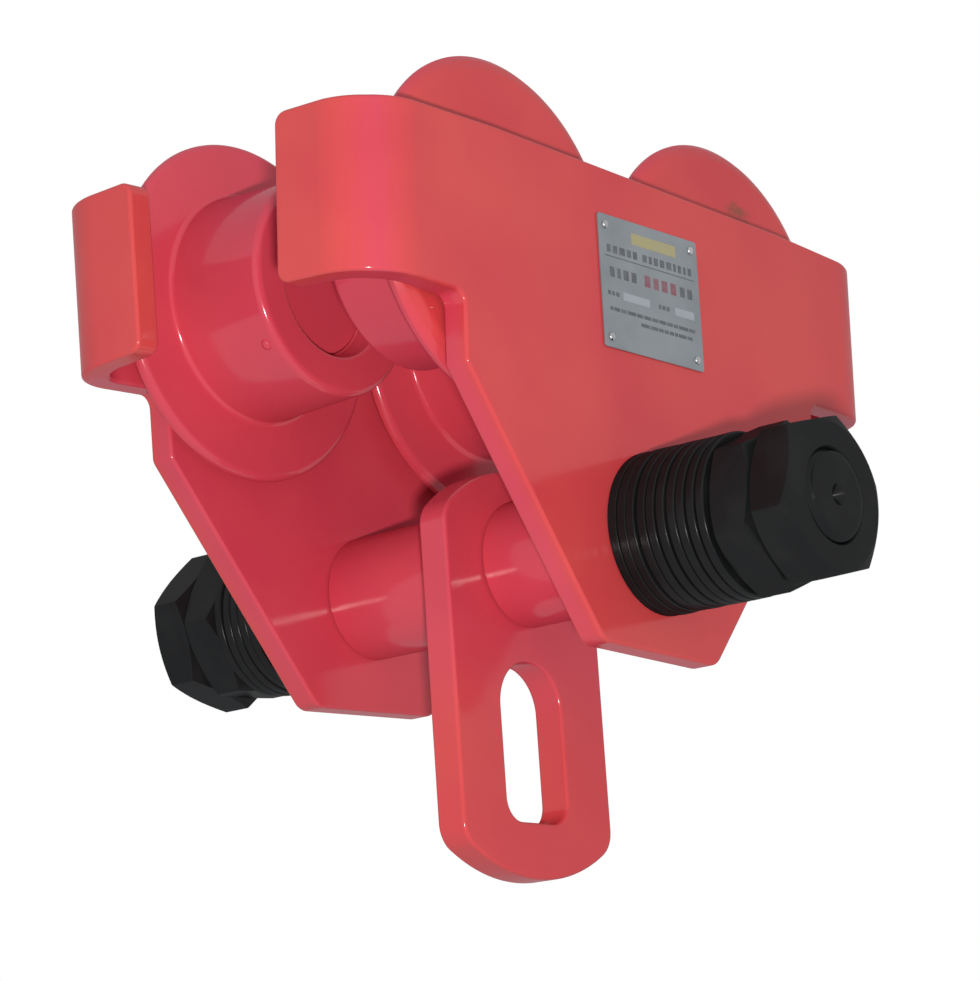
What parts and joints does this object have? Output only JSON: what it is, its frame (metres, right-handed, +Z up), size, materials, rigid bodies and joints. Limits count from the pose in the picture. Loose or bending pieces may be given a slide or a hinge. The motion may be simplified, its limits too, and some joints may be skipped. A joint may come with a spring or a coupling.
{
  "type": "push beam trolley",
  "caption": "Push beam trolley with folded side plates, flanged wheels on stub axles, a threaded load bar with washers and lock nuts, and a slotted hanger plate.",
  "frame": {"origin": "midway between the four wheels, at the height where the near wheels' treads stand on the beam's lower flange; the load bar's axis is 63.5 mm below it", "axes": "+X along the beam, the direction of travel; +Y along the load bar, from the plate with the name plate to the other plate; +Z up"},
  "size_m": [0.3266, 0.325, 0.304],
  "materials": {
    "red_enamel": "gloss",
    "black_oxide": "satin black",
    "bright_steel": "ground",
    "grey_tin": "satin"
  },
  "bodies": {
    "near_frame": {"near_side_plate": "red_enamel", "load_bar": "black_oxide", "near_spacer_sleeve": "red_enamel", "far_spacer_sleeve": "red_enamel", "near_washer_01": "black_oxide", "near_washer_02": "black_oxide", "near_washer_03": "black_oxide", "near_washer_04": "black_oxide", "near_washer_05": "black_oxide", "near_washer_06": "black_oxide", "near_washer_07": "black_oxide", "near_washer_08": "black_oxide", "near_washer_09": "black_oxide", "near_washer_10": "black_oxide", "far_washer_01": "black_oxide", "far_washer_02": "black_oxide", "far_washer_03": "black_oxide", "far_washer_04": "black_oxide", "far_washer_05": "black_oxide", "far_washer_06": "black_oxide", "far_washer_07": "black_oxide", "far_washer_08": "black_oxide", "far_washer_09": "black_oxide", "far_washer_10": "black_oxide", "far_washer_11": "black_oxide", "near_inner_nut": "black_oxide", "near_outer_nut": "black_oxide", "far_inner_nut": "black_oxide", "far_outer_nut": "black_oxide", "near_front_axle": "bright_steel", "near_front_axle_ring": "bright_steel", "near_rear_axle": "bright_steel", "near_rear_axle_ring": "bright_steel", "name_plate": "grey_tin", "name_plate_rivet_1": "bright_steel", "name_plate_rivet_2": "bright_steel", "name_plate_rivet_3": "bright_steel", "name_plate_rivet_4": "bright_steel"},
    "far_frame": {"far_side_plate": "red_enamel", "far_front_axle": "bright_steel", "far_front_axle_ring": "bright_steel", "far_rear_axle": "bright_steel", "far_rear_axle_ring": "bright_steel"},
    "hanger": {"hanger_plate": "red_enamel"},
    "near_front_roller": {"near_front_wheel": "red_enamel", "near_front_hub_cap": "red_enamel", "near_front_bearing": "bright_steel"},
    "near_rear_roller": {"near_rear_wheel": "red_enamel", "near_rear_hub_cap": "red_enamel", "near_rear_bearing": "bright_steel"},
    "far_front_roller": {"far_front_wheel": "red_enamel", "far_front_hub_cap": "red_enamel", "far_front_bearing": "bright_steel"},
    "far_rear_roller": {"far_rear_wheel": "red_enamel", "far_rear_hub_cap": "red_enamel", "far_rear_bearing": "bright_steel"}
  },
  "joints": [
    {"name": "far_frame_turn", "type": "hinge", "parent": "near_frame", "child": "far_frame", "pos_m": [0, 0.0735, -0.0635], "axis": [0, 1, 0], "range_deg": [-8, 16]},
    {"name": "hanger_swing", "type": "hinge", "parent": "near_frame", "child": "hanger", "pos_m": [0, -0.0056, -0.0635], "axis": [0, 1, 0], "range_deg": [-72, 78]},
    {"name": "near_front_wheel_roll", "type": "hinge", "parent": "near_frame", "child": "near_front_roller", "pos_m": [-0.069, -0.04, 0.045], "axis": [0, 1, 0], "continuous": true},
    {"name": "near_rear_wheel_roll", "type": "hinge", "parent": "near_frame", "child": "near_rear_roller", "pos_m": [0.069, -0.04, 0.045], "axis": [0, 1, 0], "continuous": true},
    {"name": "far_front_wheel_roll", "type": "hinge", "parent": "far_frame", "child": "far_front_roller", "pos_m": [-0.07658, 0.04, 0.03979], "axis": [0, 1, 0], "continuous": true},
    {"name": "far_rear_wheel_roll", "type": "hinge", "parent": "far_frame", "child": "far_rear_roller", "pos_m": [0.06107, 0.04, 0.04966], "axis": [0, 1, 0], "continuous": true}
  ]
}
